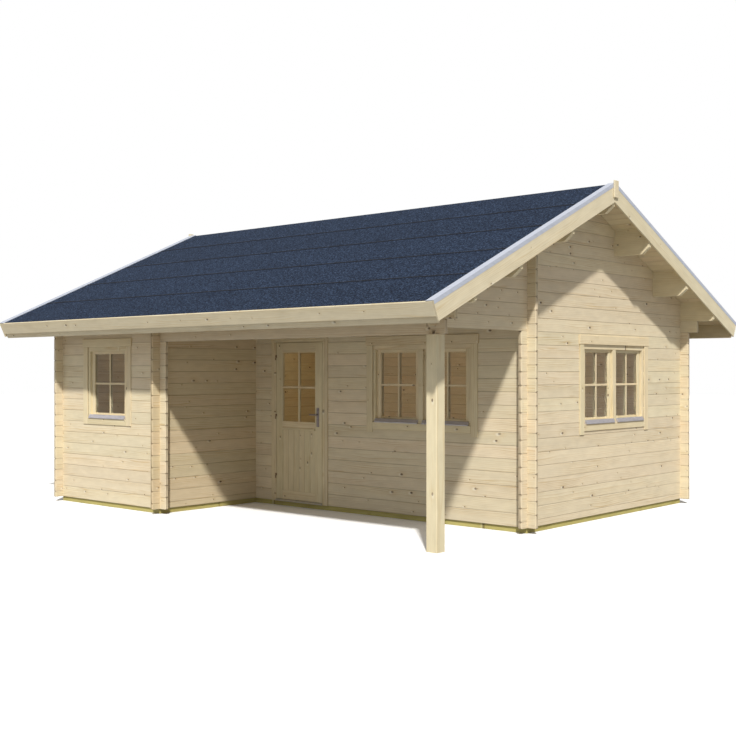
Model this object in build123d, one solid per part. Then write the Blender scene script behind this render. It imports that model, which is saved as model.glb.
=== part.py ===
from build123d import *
import math
import os

# Log cabin with a corner porch under one gable roof, in millimetres, +Z up.
# The origin is on the ground under the middle of the ridge. +X runs along the ridge,
# the porch and the door are at the front (-Y), and the open end of the porch is at +X.

# Plan, measured on the outer faces of the log walls
left_room_width = 2115.0
porch_length = 4225.0
porch_depth = 1575.0
main_room_depth = 3655.0

# Wall logs
log_thickness = 45.0
log_height = 144.5
log_overhang = 108.0
joint_groove = 4.0
notch_share = 0.25
head_courses = 14
eave_courses = 16
bracket_overhang = 230.0

# Foundation and floor
foundation_height = 60.0
foundation_width = 70.0
foundation_inset = 20.0
joist_width = 60.0
joist_count = 4
floor_thickness = 28.0
floor_gap = 5.0

# Porch post
post_size = 130.0
post_chamfer = 6.0

# Roof structure
roof_pitch = 24.1
plate_height = 233.0
eave_overhang = 600.0
gable_overhang = 466.0
upper_purlin_share = 0.33
lower_purlin_share = 0.705
purlin_width = 60.0
purlin_depth = 298.0
purlin_end_height = 222.0
purlin_bevel_length = 92.0

# Roof covering and edge boards
roof_board_thickness = 19.0
felt_thickness = 4.0
felt_strip_count = 5
barge_thickness = 20.0
barge_depth = 197.0
barge_rise = 32.0
fascia_thickness = 20.0
fascia_depth = 153.0
under_fascia_depth = 192.0
apex_board_width = 86.0
apex_board_height = 190.0
apex_board_thickness = 20.0
apex_board_rise = 58.0

# Metal verge trim
trim_sheet = 2.0
trim_flange = 34.0
trim_cover = 92.0
trim_rib_width = 14.0
trim_rib_height = 6.0

# Door
door_from_side_wall = 403.0
door_leaf_width = 815.0
door_leaf_height = 1997.0
door_leaf_thickness = 40.0
door_gap = 6.0
door_stile = 116.0
door_bottom_rail = 110.0
door_panel_height = 779.0
door_mid_rail = 102.0
door_top_rail = 121.0
door_panel_recess = 9.0
door_lining = 35.0
door_casing_width = 50.0
door_casing_thickness = 18.0
door_stop_depth = 17.0
door_stop_cover = 14.0
sill_height = 25.0
sill_nose = 30.0

# Door hinges, three lift-off pins
hinge_radius = 7.0
hinge_pin_radius = 4.0
hinge_knuckle_height = 32.0
hinge_pin_height = 26.0
hinge_plate_width = 18.0
hinge_plate_thickness = 3.0
hinge_height_shares = (0.146, 0.527, 0.906)

# Door handle
handle_plate_width = 38.0
handle_plate_height = 236.0
handle_plate_thickness = 8.0
handle_inset = 66.0
handle_height = 1092.0
handle_plate_above_share = 0.36
neck_radius = 11.5
lever_radius = 9.0
lever_reach = 50.0
lever_setback = 12.0
lever_length = 112.0

# Windows
window_sill = 1121.0
window_head = 2035.0
double_window_width = 1446.0
single_window_width = 830.0
double_sash_count = 2
single_sash_count = 1
porch_window_place_share = 0.5
gable_window_place_share = 0.514
front_window_place_share = 0.492
window_frame_depth = 96.0
window_setback = 6.0
window_frame_face = 36.0
window_frame_head = 54.0
window_sash_stile = 60.0
window_sash_rail = 32.0
window_sash_setback = 29.0
window_glass_setback = 18.0
window_mullion = 66.0
window_rail_height = 48.0
window_rail_depth = 30.0
window_rail_lip = 8.0
casing_width = 92.0
casing_thickness = 12.0
casing_head_height = 104.0
casing_head_thickness = 17.0
casing_head_reach = 12.0
casing_bottom_height = 80.0
casing_drop = 40.0
glass_thickness = 6.0

# Fits
seat_gap = 0.3
pin_clearance = 0.2
cut_overrun = 20.0

# Places worked out from the plan
half_length = (left_room_width + porch_length) / 2
half_depth = (porch_depth + main_room_depth) / 2
right_face = half_length
left_face = -half_length
front_face = -half_depth
rear_face = half_depth
porch_face = front_face + porch_depth
side_face = right_face - porch_length

left_x = (left_face, left_face + log_thickness)
side_x = (side_face - log_thickness, side_face)
right_x = (right_face - log_thickness, right_face)
front_y = (front_face, front_face + log_thickness)
porch_y = (porch_face, porch_face + log_thickness)
rear_y = (rear_face - log_thickness, rear_face)

# Levels
wall_base = foundation_height
head_level = wall_base + head_courses * log_height
eave_level = wall_base + eave_courses * log_height
half_course = log_height / 2
gable_split = head_level + half_course
floor_top = foundation_height + floor_thickness

# Roof lines
pitch = math.radians(roof_pitch)
sin_pitch = math.sin(pitch)
cos_pitch = math.cos(pitch)
tan_pitch = math.tan(pitch)
ridge_z = eave_level + plate_height + half_depth * tan_pitch
slope_length = (half_depth + eave_overhang) / cos_pitch
eave_end = slope_length + fascia_thickness
barge_face = half_length + gable_overhang
barge_back = barge_face - barge_thickness
felt_top = roof_board_thickness + 2 * felt_thickness
fascia_rise = felt_top
FRONT = -1
REAR = 1

os.makedirs("parts", exist_ok=True)


def save(node, *solids):
    """Write the solids of one named piece."""
    shape = solids[0] if len(solids) == 1 else Compound(children=list(solids))
    export_step(shape, f"parts/{node}.step")


def block(x_range, y_range, z_range):
    """Upright box between two limits on each axis."""
    size_x = x_range[1] - x_range[0]
    size_y = y_range[1] - y_range[0]
    size_z = z_range[1] - z_range[0]
    corner = Pos(x_range[0], y_range[0], z_range[0])
    return corner * Box(size_x, size_y, size_z, align=(Align.MIN, Align.MIN, Align.MIN))


def widen(limits, extra):
    """The same limits, moved apart by extra on both sides."""
    return (limits[0] - extra, limits[1] + extra)


def prism_x(outline, x_range):
    """Outline of (y, z) points carried along X."""
    points = [(x_range[0], y, z) for y, z in outline]
    face = make_face(Polyline(*points, close=True))
    return extrude(face, amount=x_range[1] - x_range[0], dir=(1, 0, 0))


def prism_y(outline, y_range):
    """Outline of (x, z) points carried along Y."""
    points = [(x, y_range[0], z) for x, z in outline]
    face = make_face(Polyline(*points, close=True))
    return extrude(face, amount=y_range[1] - y_range[0], dir=(0, 1, 0))


# Roof geometry shared by the walls, the purlins and the covering


def slope_point(side, along, above):
    """(y, z) of a point along the slope from the ridge and square above the boards' underside."""
    y = side * (along * cos_pitch + above * sin_pitch)
    z = ridge_z - along * sin_pitch + above * cos_pitch
    return (y, z)


def ridge_point(above):
    """(y, z) on the upright mitre plane at the ridge."""
    return (0, ridge_z + above / cos_pitch)


def underside(y):
    """Height of the roof boards' underside at y."""
    return ridge_z - abs(y) * tan_pitch


def slope_board(side, low, high, x_range, end):
    """Board on one slope between two heights above the underside, mitred at the ridge."""
    outline = [
        ridge_point(low),
        ridge_point(high),
        slope_point(side, end, high),
        slope_point(side, end, low),
    ]
    return prism_x(outline, x_range)


def edge_board(side, low, high, start, end, x_range):
    """Board that follows the eave, square to the slope."""
    outline = [
        slope_point(side, start, low),
        slope_point(side, start, high),
        slope_point(side, end, high),
        slope_point(side, end, low),
    ]
    return prism_x(outline, x_range)


def under_roof():
    """All the space below the roof boards, from the ground up."""
    reach = half_depth + eave_overhang
    outline = [
        (-reach, -cut_overrun),
        (reach, -cut_overrun),
        (reach, underside(reach)),
        (0, ridge_z),
        (-reach, underside(reach)),
    ]
    return prism_x(outline, (-barge_face, barge_face))


roof_space = under_roof()


# Purlins and eave plates: upright timbers under the boards, their ends bevelled from below


def bevel_end(timber, y_range, bottom, rise, end_x, sign):
    """Cut a taper from below on the end of a timber that lies along X, at one slope for all of them."""
    length = purlin_bevel_length * rise / (purlin_depth - purlin_end_height)
    outline = [
        (end_x + sign * cut_overrun, bottom - cut_overrun),
        (end_x + sign * cut_overrun, bottom + rise),
        (end_x, bottom + rise),
        (end_x - sign * length, bottom),
        (end_x - sign * length, bottom - cut_overrun),
    ]
    return timber - prism_y(outline, widen(y_range, cut_overrun))


def purlin(centre_y, width, depth):
    """Timber with its top planed to the roof."""
    y_range = (centre_y - width / 2, centre_y + width / 2)
    bottom = underside(centre_y) - depth
    outline = [
        (y_range[0], bottom),
        (y_range[1], bottom),
        (y_range[1], underside(y_range[1])),
    ]
    if centre_y == 0:
        outline.append((0, ridge_z))
    outline.append((y_range[0], underside(y_range[0])))
    timber = prism_x(outline, (-barge_back, barge_back))
    for sign in (-1, 1):
        timber = bevel_end(timber, y_range, bottom, depth - purlin_end_height, sign * barge_back, sign)
    return timber


plate_centre = half_depth - log_thickness / 2
upper_purlin_y = upper_purlin_share * plate_centre
lower_purlin_y = lower_purlin_share * plate_centre
plate_depth = underside(plate_centre) - eave_level

purlins = {
    "ridge_purlin": purlin(0, purlin_width, purlin_depth),
    "front_upper_purlin": purlin(-upper_purlin_y, purlin_width, purlin_depth),
    "front_lower_purlin": purlin(-lower_purlin_y, purlin_width, purlin_depth),
    "rear_upper_purlin": purlin(upper_purlin_y, purlin_width, purlin_depth),
    "rear_lower_purlin": purlin(lower_purlin_y, purlin_width, purlin_depth),
}
front_plate = purlin(-plate_centre, log_thickness, plate_depth)
rear_plate = purlin(plate_centre, log_thickness, plate_depth)

for node, timber in purlins.items():
    save(node, timber)
save("eave_plates", front_plate, rear_plate)


# Log walls: courses stacked with V joints, lapped at the corners by half a course.
# Logs along X start with a whole log, logs along Y with half a log, so at each crossing
# every log keeps the middle half of its height and the crossing logs fill the rest.


def long_courses(first, last):
    """Joint levels of logs along X."""
    return [wall_base + index * log_height for index in range(first, last + 1)]


def cross_courses(top):
    """Joint levels of logs along Y, from the foundation up past a given height."""
    levels = [wall_base]
    while levels[-1] < top:
        levels.append(wall_base + half_course + (len(levels) - 1) * log_height)
    return levels


def stack_outline(outer, inner, levels):
    """Section of a stack of logs, with a V groove on the weather face at each joint."""
    depth = math.copysign(joint_groove, inner - outer)
    weather_face = [(outer, levels[0])]
    for level in levels[1:-1]:
        weather_face += [(outer, level - joint_groove), (outer + depth, level), (outer, level + joint_groove)]
    weather_face.append((outer, levels[-1]))
    return weather_face + [(inner, levels[-1]), (inner, levels[0])]


def lap_levels(first_level, bottom, top):
    """Height limits of the laps, a course apart, that lie between bottom and top."""
    half_lap = notch_share * log_height
    count = int((top - first_level) / log_height) + 2
    centres = [first_level + index * log_height for index in range(count)]
    laps = [(centre - half_lap, centre + half_lap) for centre in centres]
    return [lap for lap in laps if lap[1] > bottom and lap[0] < top]


def lap_long_logs(column_x, column_y, bottom, top):
    """Notches in logs along X where logs along Y cross between bottom and top."""
    laps = lap_levels(wall_base, bottom, top)
    return [block(column_x, widen(column_y, cut_overrun), lap) for lap in laps]


def lap_cross_logs(column_x, column_y, bottom, top):
    """Notches in logs along Y where logs along X cross between bottom and top."""
    laps = lap_levels(wall_base + half_course, bottom, top)
    return [block(widen(column_x, cut_overrun), column_y, lap) for lap in laps]


def long_wall(x_range, y_range, levels, outer=0):
    """Logs along X. Outer says which limit of y_range is the weather face."""
    return prism_x(stack_outline(y_range[outer], y_range[1 - outer], levels), x_range)


def cross_wall(x_range, y_range, levels, outer=1):
    """Logs along Y, cut off under the roof. Outer says which limit of x_range is the weather face."""
    return prism_y(stack_outline(x_range[outer], x_range[1 - outer], levels), y_range) & roof_space


def wall_opening_y(centre_x, width, y_range, z_range):
    """Window opening through a wall of logs along X."""
    x_range = (centre_x - width / 2, centre_x + width / 2)
    return block(x_range, widen(y_range, cut_overrun), z_range)


outer_ends_y = (front_face - log_overhang, rear_face + log_overhang)
outer_ends_x = (left_face - log_overhang, right_face + log_overhang)
side_wall_y = (front_face - log_overhang, porch_y[1] + log_overhang)
porch_wall_x = (side_x[0] - log_overhang, right_face + log_overhang)
front_wall_x = (left_face - log_overhang, side_face + log_overhang)
window_range = (window_sill, window_head)

# Doorway, and the middles of the windows in the lengths of wall that are left for them
door_x = (side_face + door_from_side_wall, side_face + door_from_side_wall + door_leaf_width)
door_bottom = foundation_height + sill_height + door_gap
door_top = door_bottom + door_leaf_height
doorway_x = widen(door_x, door_gap + door_lining)
doorway_top = door_top + door_gap + door_lining
door_casing_end = doorway_x[1] + door_casing_width
porch_window_x = door_casing_end + porch_window_place_share * (right_face - door_casing_end)
gable_window_y = porch_face + gable_window_place_share * main_room_depth
front_window_x = left_face + front_window_place_share * left_room_width

# Front wall of the left room, up to the window heads
front_wall = long_wall(front_wall_x, front_y, long_courses(0, head_courses))
front_wall -= lap_long_logs(left_x, front_y, wall_base, head_level)
front_wall -= lap_long_logs(side_x, front_y, wall_base, head_level)
front_wall -= wall_opening_y(front_window_x, single_window_width, front_y, window_range)
save("front_wall", front_wall)

# Logs over the front wall that carry on across the porch to the post
beam_courses = eave_courses - 1
beam_level = wall_base + beam_courses * log_height
front_beam = long_wall(outer_ends_x, front_y, long_courses(head_courses, beam_courses))
front_beam -= lap_long_logs(left_x, front_y, head_level, beam_level)
front_beam -= lap_long_logs(side_x, front_y, head_level, beam_level)
front_beam -= lap_long_logs(right_x, front_y, gable_split, beam_level)
save("front_beam", front_beam)

# Rear wall
rear_wall = long_wall(outer_ends_x, rear_y, long_courses(0, beam_courses), outer=1)
rear_wall -= lap_long_logs(left_x, rear_y, wall_base, beam_level)
rear_wall -= lap_long_logs(right_x, rear_y, wall_base, beam_level)
save("rear_wall", rear_wall)

# Top log of both eave walls, longer at its ends, where it makes a bracket under the plate
bracket_x = (left_face - bracket_overhang, right_face + bracket_overhang)
bracket_levels = long_courses(beam_courses, eave_courses)
front_bracket_log = long_wall(bracket_x, front_y, bracket_levels)
rear_bracket_log = long_wall(bracket_x, rear_y, bracket_levels, outer=1)
for column_x in (left_x, side_x, right_x):
    front_bracket_log -= lap_long_logs(column_x, front_y, beam_level, eave_level)
for column_x in (left_x, right_x):
    rear_bracket_log -= lap_long_logs(column_x, rear_y, beam_level, eave_level)
save("bracket_logs", front_bracket_log, rear_bracket_log)

# Porch wall: two lower parts beside the doorway and the logs that run over it to the roof
porch_wall_top_level = underside(porch_y[1])
porch_top_courses = math.ceil((porch_wall_top_level - wall_base) / log_height)
lower_levels = long_courses(0, head_courses)

hinge_side = long_wall((porch_wall_x[0], doorway_x[0]), porch_y, lower_levels)
hinge_side -= lap_long_logs(side_x, porch_y, wall_base, head_level)
save("porch_wall_hinge_side", hinge_side)

window_side = long_wall((doorway_x[1], porch_wall_x[1]), porch_y, lower_levels)
window_side -= lap_long_logs(right_x, porch_y, wall_base, head_level)
window_side -= wall_opening_y(porch_window_x, double_window_width, porch_y, window_range)
save("porch_wall_window_side", window_side)

over_door = long_wall(porch_wall_x, porch_y, long_courses(head_courses, porch_top_courses)) & roof_space
over_door -= lap_long_logs(side_x, porch_y, head_level, porch_wall_top_level)
over_door -= lap_long_logs(right_x, porch_y, head_level, porch_wall_top_level)
over_door -= block(doorway_x, widen(porch_y, cut_overrun), (wall_base, doorway_top))
over_door -= list(purlins.values())
save("porch_wall_over_door", over_door)

# Porch side wall, between the front wall and the porch wall
side_wall = cross_wall(side_x, side_wall_y, cross_courses(underside(side_wall_y[1])))
side_wall -= lap_cross_logs(side_x, front_y, wall_base, eave_level)
side_wall -= lap_cross_logs(side_x, porch_y, wall_base, porch_wall_top_level)
side_wall -= [front_plate, purlins["front_lower_purlin"], purlins["front_upper_purlin"]]
save("porch_side_wall", side_wall)

# Gables, with pockets for the purlins and the plates
gable_levels = cross_courses(ridge_z)
roof_timbers = [front_plate, rear_plate, *purlins.values()]

left_gable = cross_wall(left_x, outer_ends_y, gable_levels, outer=0)
left_gable -= lap_cross_logs(left_x, front_y, wall_base, eave_level)
left_gable -= lap_cross_logs(left_x, rear_y, wall_base, eave_level)
left_gable -= roof_timbers
save("left_gable", left_gable)

right_wall_y = (porch_face - log_overhang, rear_face + log_overhang)
right_wall = cross_wall(right_x, right_wall_y, cross_courses(gable_split))
right_wall -= lap_cross_logs(right_x, porch_y, wall_base, gable_split)
right_wall -= lap_cross_logs(right_x, rear_y, wall_base, gable_split)
gable_window_range = (gable_window_y - double_window_width / 2, gable_window_y + double_window_width / 2)
right_wall -= block(widen(right_x, cut_overrun), gable_window_range, window_range)
save("right_gable_wall", right_wall)

# Upper logs of the right gable, which run on over the porch to the post
top_levels = [level for level in gable_levels if level > gable_split - half_course]
right_top = cross_wall(right_x, outer_ends_y, top_levels)
right_top -= lap_cross_logs(right_x, front_y, head_level, eave_level)
right_top -= lap_cross_logs(right_x, porch_y, gable_split, porch_wall_top_level)
right_top -= lap_cross_logs(right_x, rear_y, gable_split, eave_level)
right_top -= roof_timbers
save("right_gable_top", right_top)

# Porch post, centred under the crossing of the front beam and the gable logs
post_spread = (post_size - log_thickness) / 2
post_x = widen(right_x, post_spread)
post_y = widen(front_y, post_spread)
post = block(post_x, post_y, (0, head_level))
post = chamfer(post.edges().filter_by(Axis.Z), post_chamfer)
save("porch_post", post)


# Foundation: impregnated beams under every wall, and joists between them


def foundation_beams():
    """Beams set a little back from the outer faces of the walls, and evenly spaced joists."""
    level = (0, foundation_height)
    left = left_face + foundation_inset
    side = side_face - foundation_inset
    right = right_face - foundation_inset
    front = front_face + foundation_inset
    porch = porch_face + foundation_inset
    rear = rear_face - foundation_inset
    inner_left = left + foundation_width
    inner_side = side - foundation_width
    inner_right = right - foundation_width
    inner_front = front + foundation_width
    inner_porch = porch + foundation_width
    inner_rear = rear - foundation_width
    beams = [
        block((left, right), (inner_rear, rear), level),
        block((left, side), (front, inner_front), level),
        block((side + seat_gap, right), (porch, inner_porch), level),
        block((left, inner_left), (inner_front + seat_gap, inner_rear - seat_gap), level),
        block((inner_side, side), (inner_front + seat_gap, inner_porch), level),
        block((inner_right, right), (inner_porch + seat_gap, inner_rear - seat_gap), level),
    ]
    joist_y = (inner_porch + seat_gap, inner_rear - seat_gap)
    joist_pitch = (inner_right - side) / (joist_count + 1)
    for index in range(joist_count):
        centre = side + (index + 1) * joist_pitch
        beams.append(block((centre - joist_width / 2, centre + joist_width / 2), joist_y, level))
    left_centre = (inner_left + inner_side) / 2
    left_joist_y = (inner_front + seat_gap, inner_rear - seat_gap)
    beams.append(block((left_centre - joist_width / 2, left_centre + joist_width / 2), left_joist_y, level))
    return beams


save("foundation_beams", *foundation_beams())


# Floor boards of the two parts of the room, notched round the log ends at the inner corner


def floor_boards():
    """Left part and main part of the floor."""
    level = (foundation_height, floor_top)
    inner_rear = rear_y[0] - floor_gap
    left_part = block(
        (left_x[1] + floor_gap, side_x[0] - floor_gap),
        (front_y[1] + floor_gap, inner_rear),
        level,
    )
    end_x = (porch_wall_x[0] - floor_gap, side_x[0])
    left_part -= block(end_x, widen(porch_y, floor_gap), level)
    main_part = block(
        (side_x[0] - floor_gap + seat_gap, right_x[0] - floor_gap),
        (porch_y[1] + floor_gap, inner_rear),
        level,
    )
    end_y = (porch_y[1], side_wall_y[1] + floor_gap)
    main_part -= block(widen(side_x, floor_gap), end_y, level)
    return [left_part, main_part]


save("floor_boards", *floor_boards())


# Roof covering: boards, lapped felt, fascias, barge boards, apex boards and verge trims


def felt(side):
    """Felt laid in strips along the eave, each one lapped over the strip below it."""
    strip = slope_length / felt_strip_count
    lower = roof_board_thickness
    upper = roof_board_thickness + felt_thickness
    outline = [ridge_point(lower), ridge_point(upper)]
    for index in range(felt_strip_count):
        outline.append(slope_point(side, (index + 1) * strip, felt_top))
        if index + 1 < felt_strip_count:
            outline.append(slope_point(side, (index + 1) * strip, upper))
    outline.append(slope_point(side, slope_length, lower))
    return prism_x(outline, (-barge_back, barge_back))


def verge_trim(side, sign):
    """Folded metal strip over a barge board: side flange, rib and cover on the felt."""
    top = barge_rise
    inner = -trim_cover
    section = [
        (trim_sheet, top - trim_flange),
        (0, top - trim_flange),
        (0, top),
        (inner + trim_sheet, top),
        (inner + trim_sheet, felt_top),
        (inner, felt_top),
        (inner, top + trim_sheet),
        (-trim_rib_width, top + trim_sheet),
        (-trim_rib_width, top + trim_rib_height),
        (trim_sheet, top + trim_rib_height),
    ]
    points = []
    for out, above in section:
        y, z = slope_point(side, eave_end, above)
        points.append((sign * (barge_face + out), y, z))
    face = make_face(Polyline(*points, close=True))
    strip = extrude(face, amount=eave_end + cut_overrun, dir=(0, -side * cos_pitch, sin_pitch))
    reach = half_depth + eave_overhang
    beyond_ridge = sorted((0, -side * reach))
    span = widen((-barge_face, barge_face), trim_cover)
    return strip - block(span, beyond_ridge, (0, 2 * ridge_z))


roof_x = (-barge_back, barge_back)
for name, side in (("front", FRONT), ("rear", REAR)):
    save(f"roof_boards_{name}", slope_board(side, 0, roof_board_thickness, roof_x, slope_length))
    save(f"roof_felt_{name}", felt(side))
    fascia_low = fascia_rise - fascia_depth
    main_fascia = edge_board(side, fascia_low, fascia_rise, slope_length, eave_end, roof_x)
    back = slope_length - fascia_thickness
    under_fascia = edge_board(side, -under_fascia_depth, 0, back, slope_length - seat_gap, roof_x)
    save(f"{name}_fascia", main_fascia, under_fascia)

barge_low = barge_rise - barge_depth
for end, sign in (("right", 1), ("left", -1)):
    barge_x = sorted((sign * barge_back, sign * barge_face))
    for name, side in (("front", FRONT), ("rear", REAR)):
        save(f"{end}_{name}_barge_board", slope_board(side, barge_low, barge_rise, barge_x, eave_end))
    save(f"{end}_verge_trims", verge_trim(FRONT, sign), verge_trim(REAR, sign))

apex_top = ridge_z + apex_board_rise
apex_boards = []
for sign in (1, -1):
    inner_x = sign * (barge_face + trim_sheet)
    apex_x = sorted((inner_x, inner_x + sign * apex_board_thickness))
    apex_y = (-apex_board_width / 2, apex_board_width / 2)
    apex_boards.append(block(apex_x, apex_y, (apex_top - apex_board_height, apex_top)))
save("apex_boards", *apex_boards)


# Door frame: casing on the wall, lining through it and stops behind the leaf


def door_frame():
    """Three casings, three linings and three stops round the doorway."""
    casing_face = porch_face - door_casing_thickness
    casing_y = (casing_face, porch_face)
    lining_y = (casing_face, porch_y[1])
    stop_y = (porch_y[1] - door_stop_depth, porch_y[1])
    base = foundation_height
    clear_x = widen(door_x, door_gap)
    clear_top = door_top + door_gap
    pieces = []
    for sign, inner in ((-1, clear_x[0]), (1, clear_x[1])):
        outer = inner + sign * door_lining
        casing_end = outer + sign * door_casing_width
        stop_end = inner - sign * (door_gap + door_stop_cover)
        lining_x = sorted((inner, outer))
        pieces.append(block(sorted((outer + sign * seat_gap, casing_end)), casing_y, (base, doorway_top)))
        pieces.append(block(lining_x, lining_y, (base, clear_top)))
        stop_x = sorted((inner - sign * seat_gap, stop_end))
        pieces.append(block(stop_x, stop_y, (base + sill_height + seat_gap, clear_top)))
    head_x = widen(doorway_x, door_casing_width)
    pieces.append(block(head_x, casing_y, (doorway_top + seat_gap, doorway_top + door_casing_width)))
    pieces.append(block(doorway_x, lining_y, (clear_top + seat_gap, doorway_top)))
    stop_x = widen(door_x, -door_stop_cover - seat_gap)
    stop_z = (door_top - door_stop_cover, clear_top)
    pieces.append(block(stop_x, stop_y, stop_z))
    return pieces


save("door_frame", *door_frame())

# Metal threshold between the linings, with a nose in front of the wall
sill_x = widen(door_x, door_gap - seat_gap)
sill_y = (porch_face - sill_nose, porch_y[1])
sill_z = (foundation_height, foundation_height + sill_height)
sill = block(sill_x, sill_y, sill_z)
sill = chamfer(sill.edges().filter_by(Axis.X).group_by(Axis.Z)[-1].sort_by(Axis.Y)[0], sill_height / 2)
save("door_sill", sill)


# Door leaf: stiles and rails round a glazed upper half and a boarded lower panel


def door_leaf():
    """Leaf with its glass opening and the recessed panels of the lower half."""
    leaf = block(door_x, leaf_y, (door_bottom, door_top))
    leaf -= block(pane_x, widen(leaf_y, cut_overrun), pane_z)
    front_recess = (leaf_y[0] - cut_overrun, leaf_y[0] + door_panel_recess)
    back_recess = (leaf_y[1] - door_panel_recess, leaf_y[1] + cut_overrun)
    leaf -= block(pane_x, front_recess, panel_z)
    leaf -= block(pane_x, back_recess, panel_z)
    return leaf


leaf_y = (porch_face - door_casing_thickness, porch_face - door_casing_thickness + door_leaf_thickness)
pane_x = widen(door_x, -door_stile)
panel_z = (door_bottom + door_bottom_rail, door_bottom + door_bottom_rail + door_panel_height)
pane_z = (panel_z[1] + door_mid_rail, door_top - door_top_rail)
leaf_middle = (leaf_y[0] + leaf_y[1]) / 2
glass_half = glass_thickness / 2
save("door_leaf", door_leaf())
door_pane_y = (leaf_middle - glass_half, leaf_middle + glass_half)
save("door_glass", block(widen(pane_x, -seat_gap), door_pane_y, widen(pane_z, -seat_gap)))


# Lift-off hinges on the outer face: a pin on the frame and a sleeve on the leaf


def hinge(centre_z):
    """Lower half with its pin, and upper half with its sleeve."""
    axis_x = door_x[0] - door_gap / 2
    axis_y = leaf_y[0] - hinge_radius
    plate_y = (leaf_y[0] - hinge_plate_thickness, leaf_y[0])
    low = (centre_z - hinge_knuckle_height, centre_z)
    high = (centre_z + seat_gap, centre_z + hinge_knuckle_height)
    centre = Pos(axis_x, axis_y, centre_z)
    up = (Align.CENTER, Align.CENTER, Align.MIN)
    down = (Align.CENTER, Align.CENTER, Align.MAX)
    lower = centre * Cylinder(hinge_radius, hinge_knuckle_height, align=down)
    lower += centre * Cylinder(hinge_pin_radius, hinge_pin_height, align=up)
    lower += block((axis_x - hinge_plate_width, axis_x), plate_y, low)
    upper = Pos(axis_x, axis_y, high[0]) * Cylinder(hinge_radius, high[1] - high[0], align=up)
    upper += block((axis_x, axis_x + hinge_plate_width), plate_y, high)
    upper -= centre * Cylinder(hinge_pin_radius + pin_clearance, hinge_pin_height + pin_clearance, align=up)
    return lower, upper


hinges = [hinge(door_bottom + share * door_leaf_height) for share in hinge_height_shares]
save("door_hinge_pins", *[lower for lower, upper in hinges])
save("door_hinge_sleeves", *[upper for lower, upper in hinges])


# Lever handles on both faces of the leaf, each on a long plate


def handle(face_y, outward):
    """Long plate, short neck and a lever that points at the hinges."""
    centre_x = door_x[1] - handle_inset
    centre_z = door_bottom + handle_height
    plate_top = centre_z + handle_plate_above_share * handle_plate_height
    plate_x = (centre_x - handle_plate_width / 2, centre_x + handle_plate_width / 2)
    plate_y = sorted((face_y, face_y + outward * handle_plate_thickness))
    piece = block(plate_x, plate_y, (plate_top - handle_plate_height, plate_top))
    neck = Pos(centre_x, face_y, centre_z) * Rot(90 * outward, 0, 0)
    piece += neck * Cylinder(neck_radius, lever_reach, align=(Align.CENTER, Align.CENTER, Align.MAX))
    lever_y = face_y + outward * (lever_reach - lever_setback)
    lever = Pos(centre_x, lever_y, centre_z) * Rot(0, -90, 0)
    piece += lever * Cylinder(lever_radius, lever_length, align=(Align.CENTER, Align.CENTER, Align.MIN))
    return piece


save("door_handles", handle(leaf_y[0], -1), handle(leaf_y[1], 1))


# Windows: drawn facing the front, then turned and moved to their wall


def window_casing(width, drop):
    """Two side boards that end a drop below the bottom board between them, and a thicker head board."""
    half = width / 2
    outer = half + casing_width
    thick = (-casing_thickness, 0)
    side_z = (window_sill - casing_bottom_height - drop, window_head - seat_gap)
    bottom_z = (window_sill - casing_bottom_height, window_sill)
    head_z = (window_head, window_head + casing_head_height)
    return [
        block((-outer, -half), thick, side_z),
        block((half, outer), thick, side_z),
        block((-half + seat_gap, half - seat_gap), thick, bottom_z),
        block(widen((-outer, outer), casing_head_reach), (-casing_head_thickness, 0), head_z),
    ]


def sash_centres(width, sash_count):
    """Middle and width of each sash opening inside the fixed frame."""
    clear = width - 2 * window_frame_face - (sash_count - 1) * window_mullion
    sash = clear / sash_count
    first = -width / 2 + window_frame_face + sash / 2
    return [(first + index * (sash + window_mullion), sash) for index in range(sash_count)]


def window_frame(width, sash_count):
    """Fixed frame with set-back sashes, and a pane opening through each sash."""
    frame_y = (window_setback, window_setback + window_frame_depth)
    frame_x = widen((-width / 2, width / 2), -seat_gap)
    frame = block(frame_x, frame_y, widen(window_range, -seat_gap))
    reveal_y = (frame_y[0] - cut_overrun, frame_y[0] + window_sash_setback)
    sash_z = (window_sill + window_rail_height, window_head - window_frame_head)
    for centre, sash in sash_centres(width, sash_count):
        sash_x = (centre - sash / 2, centre + sash / 2)
        frame -= block(sash_x, reveal_y, sash_z)
        frame -= block(widen(sash_x, -window_sash_stile), widen(frame_y, cut_overrun), pane_range)
    return frame


def window_panes(width, sash_count):
    """One sheet of glass for each sash."""
    face = window_setback + window_sash_setback + window_glass_setback
    pane_y = (face, face + glass_thickness)
    panes = []
    for centre, sash in sash_centres(width, sash_count):
        half = sash / 2 - window_sash_stile - seat_gap
        panes.append(block((centre - half, centre + half), pane_y, widen(pane_range, -seat_gap)))
    return panes


def drip_rails(width, sash_count):
    """Metal rain rail under each sash, with a sloping top and a lip."""
    rails = []
    low = window_sill + seat_gap
    high = window_sill + window_rail_height
    back = window_setback
    for centre, sash in sash_centres(width, sash_count):
        outline = [
            (back, low),
            (back - window_rail_depth, low),
            (back - window_rail_depth, low + window_rail_lip),
            (back - window_rail_lip, high),
            (back, high),
        ]
        rails.append(prism_x(outline, (centre - sash / 2, centre + sash / 2)))
    return rails


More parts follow.
